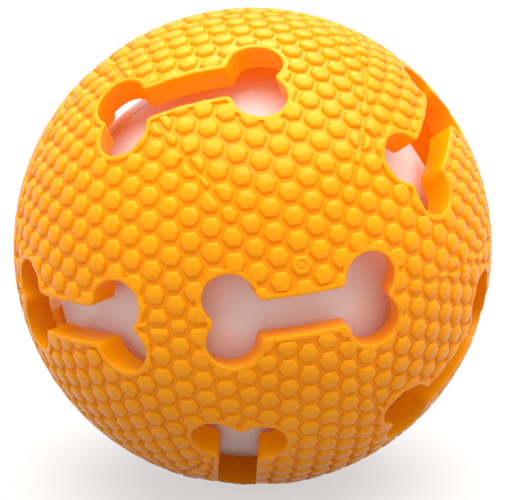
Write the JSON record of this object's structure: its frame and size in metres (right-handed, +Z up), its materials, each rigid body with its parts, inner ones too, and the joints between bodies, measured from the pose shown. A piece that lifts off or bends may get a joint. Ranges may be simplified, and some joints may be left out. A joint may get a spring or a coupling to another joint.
{
  "type": "light-up dog ball",
  "caption": "Hollow rubber dog ball with bone-shaped windows and a loose milky ball inside that flashes when it is shaken.",
  "frame": {"origin": "centre of the rubber ball", "axes": "+Z up as pictured; Y is the mould axis of the two halves, with the front half towards -Y; +X to the right"},
  "size_m": [0.075, 0.0746, 0.075],
  "materials": {
    "orange_rubber": "semi-gloss soft rubber",
    "milky_plastic": "smooth, milky, lets light through",
    "tray_plastic": "moulded",
    "board_green": "solder mask",
    "red_lens": "clear tinted",
    "green_lens": "clear tinted",
    "blue_lens": "clear tinted",
    "cell_steel": "plated",
    "contact_steel": "plated strip",
    "spring_wire": "plated wire",
    "switch_steel": "plated wire",
    "screw_steel": "zinc plated",
    "black_epoxy": "poured",
    "resistor_ceramic": "coated",
    "capacitor_sleeve": "shrunk sleeve"
  },
  "bodies": {
    "shell": {"outer_shell_front": "orange_rubber", "outer_shell_back": "orange_rubber"},
    "glow_ball": {"glow_ball_front": "milky_plastic", "glow_ball_back": "milky_plastic", "cell_tray": "tray_plastic", "circuit_board": "board_green", "red_led": "red_lens", "green_led": "green_lens", "blue_led": "blue_lens", "button_cell_left": "cell_steel", "button_cell_middle": "cell_steel", "button_cell_right": "cell_steel", "cell_spring_left": "spring_wire", "cell_spring_middle": "spring_wire", "cell_spring_right": "spring_wire", "cell_bridge": "contact_steel", "return_contact": "contact_steel", "tray_screw_top": "screw_steel", "tray_screw_left": "screw_steel", "tray_screw_right": "screw_steel", "controller_chip": "black_epoxy", "resistor": "resistor_ceramic", "capacitor": "capacitor_sleeve", "motion_pin": "switch_steel"},
    "motion_spring": {"motion_spring": "switch_steel"}
  },
  "joints": [
    {"name": "glow_ball_roll", "type": "hinge", "parent": "shell", "child": "glow_ball", "pos_m": [0, 0, -0.0022], "axis": [1, 0, 0], "continuous": true},
    {"name": "motion_spring_sway", "type": "hinge", "parent": "glow_ball", "child": "motion_spring", "pos_m": [0, -0.0073, -0.0022], "axis": [1, 0, 0], "range_deg": [-6, 6], "stiffness_Nm_per_rad": 0.0002}
  ]
}
